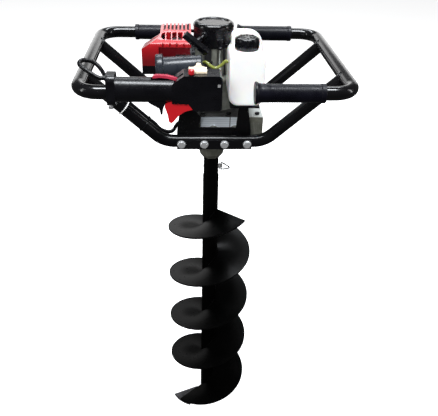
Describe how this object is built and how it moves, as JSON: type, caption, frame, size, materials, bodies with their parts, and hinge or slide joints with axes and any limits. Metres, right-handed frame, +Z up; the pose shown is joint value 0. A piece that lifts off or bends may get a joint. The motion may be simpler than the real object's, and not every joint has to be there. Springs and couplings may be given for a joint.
{
  "type": "earth auger",
  "caption": "Two-stroke earth auger: bent-tube handle frame, throttle handle, engine with recoil starter and tank, geared drive and a screw bit with a pointed end.",
  "frame": {"origin": "the bit's point, on the spin axis", "axes": "+Z up along the bit, -Y towards the operator at the throttle handle, +X to the operator's right"},
  "size_m": [0.519, 0.44, 1.097],
  "materials": {
    "frame_paint": "gloss black paint",
    "bracket_paint": "satin black paint",
    "zinc": "zinc plate",
    "grip_rubber": "matt black",
    "black_plastic": "satin black",
    "red_plastic": "gloss red",
    "lever_plastic": "satin red",
    "cream_plastic": "satin cream",
    "conduit_plastic": "ribbed black",
    "tie_plastic": "natural white",
    "cast_aluminium": "as cast",
    "dark_aluminium": "black coated",
    "piston_alloy": "machined",
    "bright_steel": "ground",
    "drum_steel": "turned",
    "shoe_metal": "sintered",
    "plug_ceramic": "white glaze",
    "cleaner_plastic": "satin dark grey",
    "silencer_steel": "heat-proof black",
    "tank_plastic": "translucent white",
    "hose_plastic": "translucent yellow-green",
    "rope_fabric": "braided",
    "auger_paint": "satin black paint",
    "blade_steel": "hardened, dark",
    "wire_steel": "black wire"
  },
  "bodies": {
    "frame": {"left_handle_loop": "frame_paint", "right_handle_loop": "frame_paint", "front_support_tube": "frame_paint", "rear_support_tube": "frame_paint", "front_bracket": "bracket_paint", "rear_bracket": "bracket_paint", "clamp_strips": "bracket_paint", "frame_bolts": "zinc", "frame_nuts": "zinc", "front_right_grip": "grip_rubber", "rear_left_grip": "grip_rubber", "rear_right_grip": "grip_rubber", "throttle_case_front": "black_plastic", "throttle_case_rear": "black_plastic", "handle_fasteners": "zinc", "switch_body": "cream_plastic", "throttle_cable": "conduit_plastic", "cable_ties": "tie_plastic", "crankcase_lower": "cast_aluminium", "crankcase_upper": "cast_aluminium", "ball_bearings": "bright_steel", "connecting_rod": "bright_steel", "piston": "piston_alloy", "cylinder": "dark_aluminium", "spark_plug": "plug_ceramic", "plug_lead": "conduit_plastic", "ignition_coil": "black_plastic", "starter_housing": "black_plastic", "recoil_spring": "bright_steel", "engine_shroud": "red_plastic", "carburettor": "piston_alloy", "air_cleaner": "cleaner_plastic", "muffler": "silencer_steel", "fuel_tank": "tank_plastic", "fuel_hose": "hose_plastic", "tank_bracket": "bracket_paint", "clutch_housing": "cast_aluminium", "gearbox_case": "cast_aluminium", "engine_screws": "zinc"},
    "auger": {"auger_tube": "auger_paint", "auger_flight": "auger_paint", "cutting_blade": "blade_steel", "output_shaft": "bright_steel"},
    "idler": {"idler_gear": "bright_steel"},
    "drum": {"clutch_drum": "drum_steel"},
    "crank": {"crankshaft": "bright_steel", "flywheel": "piston_alloy", "clutch_rotor": "drum_steel"},
    "shoe_a": {"clutch_shoe_a": "shoe_metal"},
    "shoe_b": {"clutch_shoe_b": "shoe_metal"},
    "reel": {"starter_reel": "black_plastic"},
    "pull": {"starter_grip": "black_plastic", "starter_rope": "rope_fabric"},
    "trigger": {"throttle_trigger": "red_plastic"},
    "lockout": {"lockout_lever": "lever_plastic"},
    "switch": {"switch_slider": "red_plastic"},
    "choke": {"choke_lever": "black_plastic"},
    "cap": {"fuel_cap": "black_plastic"},
    "pin": {"hitch_pin": "zinc"},
    "ring": {"pin_ring": "wire_steel"}
  },
  "joints": [
    {"name": "auger_spin", "type": "hinge", "parent": "frame", "child": "auger", "pos_m": [0, 0, 0], "axis": [0, 0, 1], "continuous": true},
    {"name": "idler_spin", "type": "hinge", "parent": "frame", "child": "idler", "pos_m": [0.0504, 0, 0], "axis": [0, 0, 1], "continuous": true},
    {"name": "drum_spin", "type": "hinge", "parent": "frame", "child": "drum", "pos_m": [0, 0, 0], "axis": [0, 0, 1], "continuous": true},
    {"name": "crank_spin", "type": "hinge", "parent": "frame", "child": "crank", "pos_m": [0, 0, 0], "axis": [0, 0, 1], "continuous": true},
    {"name": "shoe_a_out", "type": "slide", "parent": "crank", "child": "shoe_a", "axis": [0, 1, 0], "range_m": [0, 0.0015], "stiffness_N_per_m": 4000},
    {"name": "shoe_b_out", "type": "slide", "parent": "crank", "child": "shoe_b", "axis": [0, -1, 0], "range_m": [0, 0.0015], "stiffness_N_per_m": 4000},
    {"name": "starter_pull", "type": "slide", "parent": "frame", "child": "pull", "axis": [-0.4318, -0.6226, 0.6527], "range_m": [0, 0.6], "stiffness_N_per_m": 20, "springref_m": -0.1, "deforming": ["starter_rope"]},
    {"name": "reel_spin", "type": "hinge", "parent": "frame", "child": "reel", "pos_m": [0, 0, 0], "axis": [0, 0, -1], "range_deg": [0, 1433]},
    {"name": "trigger_pull", "type": "hinge", "parent": "frame", "child": "trigger", "pos_m": [-0.05, -0.2, 1.0125], "axis": [0, 1, 0], "range_deg": [0, 18], "stiffness_Nm_per_rad": 0.4, "springref_deg": -11.46},
    {"name": "lockout_press", "type": "hinge", "parent": "frame", "child": "lockout", "pos_m": [-0.066, -0.2, 1.0415], "axis": [0, -1, 0], "range_deg": [0, 6], "stiffness_Nm_per_rad": 0.4, "springref_deg": -5.73},
    {"name": "switch_slide", "type": "slide", "parent": "frame", "child": "switch", "axis": [1, 0, 0], "range_m": [0, 0.011]},
    {"name": "choke_turn", "type": "hinge", "parent": "frame", "child": "choke", "pos_m": [-0.06, -0.062, 1.03], "axis": [0, 0, 1], "range_deg": [0, 60]},
    {"name": "cap_turn", "type": "hinge", "parent": "frame", "child": "cap", "pos_m": [0.058, -0.1, 1.07], "axis": [0, 0, 1], "range_deg": [0, 540]},
    {"name": "pin_pull", "type": "slide", "parent": "auger", "child": "pin", "axis": [1, 0, 0], "range_m": [0, 0.045]},
    {"name": "ring_flip", "type": "hinge", "parent": "pin", "child": "ring", "pos_m": [0.02275, 0, 0.775], "axis": [0, 0, 1], "range_deg": [-100, 100]}
  ],
  "couplings": [
    {"joint": "idler_spin", "follows": "auger_spin", "ratio": -5},
    {"joint": "drum_spin", "follows": "auger_spin", "ratio": 25},
    {"joint": "reel_spin", "follows": "starter_pull", "rad_per_m": 41.667}
  ]
}
